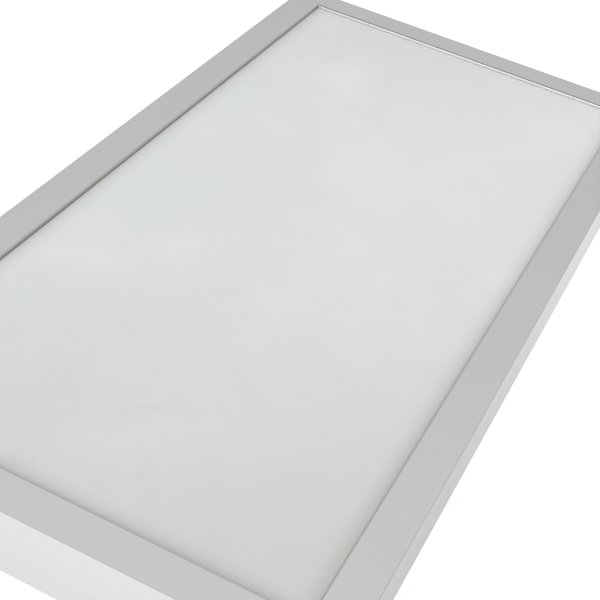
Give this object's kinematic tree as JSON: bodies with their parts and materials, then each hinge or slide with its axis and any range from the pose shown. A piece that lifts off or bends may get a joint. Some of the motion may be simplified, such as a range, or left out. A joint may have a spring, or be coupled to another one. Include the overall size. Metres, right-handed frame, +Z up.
{
  "type": "light table",
  "caption": "Flat LED light table: wide mitred aluminium frame round a recessed opal plate, with a dimmer knob, power button and low-voltage inlet in one short side.",
  "frame": {"origin": "on the surface that the feet stand on, under the middle of the frame", "axes": "+X across the short side, to the right; +Y along the long side, away from the user, towards the side with the inlet and controls; +Z up, out of the lit face"},
  "size_m": [0.3, 0.606, 0.043],
  "materials": {
    "anodised_aluminium": "fine satin anodised",
    "opal_acrylic": "opal, soft satin",
    "cover_paint": "fine powder coat",
    "rubber": "matte moulded",
    "die_cast": "die cast",
    "zinc_steel": "zinc plated",
    "foam": "closed-cell foam",
    "white_reflector": "matte white",
    "bar_white": "white solder mask on aluminium",
    "led_phosphor": "silicone over white housing",
    "clear_acrylic": "clear polished",
    "nylon_white": "natural nylon",
    "red_pvc": "smooth insulation",
    "black_pvc": "smooth insulation",
    "board_green": "solder mask",
    "chip_black": "moulded epoxy",
    "capacitor_sleeve": "shrink sleeve",
    "fuse_glass": "glass with metal caps",
    "brass": "turned",
    "black_plastic": "fine moulded texture",
    "button_plastic": "fine moulded texture"
  },
  "bodies": {
    "housing": {"back_cover": "cover_paint", "bar_connectors": "nylon_white", "bar_screws": "zinc_steel", "board_screws": "zinc_steel", "board_standoffs": "zinc_steel", "bulk_capacitor": "capacitor_sleeve", "control_board": "board_green", "corner_key_screws": "zinc_steel", "cover_screws": "zinc_steel", "diffuser_posts": "clear_acrylic", "dimmer_chip": "chip_black", "dimmer_pot": "chip_black", "feed_wire_black": "black_pvc", "feed_wire_red": "red_pvc", "foot_far_left": "rubber", "foot_far_right": "rubber", "foot_near_left": "rubber", "foot_near_right": "rubber", "foot_nuts": "zinc_steel", "foot_screws": "zinc_steel", "frame_far": "anodised_aluminium", "frame_left": "anodised_aluminium", "frame_near": "anodised_aluminium", "frame_right": "anodised_aluminium", "fuse": "fuse_glass", "inlet_body": "black_plastic", "inlet_pin": "brass", "jumper_wires_black": "black_pvc", "jumper_wires_red": "red_pvc", "led_bar_1": "bar_white", "led_bar_2": "bar_white", "led_bar_3": "bar_white", "led_bar_4": "bar_white", "led_bar_5": "bar_white", "led_lenses": "clear_acrylic", "led_packages": "led_phosphor", "lower_key_far_left": "die_cast", "lower_key_far_right": "die_cast", "lower_key_near_left": "die_cast", "lower_key_near_right": "die_cast", "opal_diffuser": "opal_acrylic", "output_connector": "nylon_white", "plate_seals": "foam", "power_transistor": "chip_black", "reflector_tray": "white_reflector", "standoff_screws": "zinc_steel", "switch_body": "chip_black", "switch_spring": "zinc_steel", "tray_spacers": "foam", "upper_key_far_left": "die_cast", "upper_key_far_right": "die_cast", "upper_key_near_left": "die_cast", "upper_key_near_right": "die_cast"},
    "button": {"power_button": "button_plastic", "switch_plunger": "button_plastic"},
    "dimmer": {"dimmer_knob": "black_plastic", "dimmer_shaft": "zinc_steel"}
  },
  "joints": [
    {"name": "power_button_press", "type": "slide", "parent": "housing", "child": "button", "axis": [0, -1, 0], "range_m": [0, 0.0018], "stiffness_N_per_m": 600, "springref_m": -0.0008, "deforming": ["switch_spring"]},
    {"name": "dimmer_turn", "type": "hinge", "parent": "housing", "child": "dimmer", "pos_m": [-0.045, 0.3, 0.0231], "axis": [0, -1, 0], "range_deg": [-140, 140]}
  ]
}
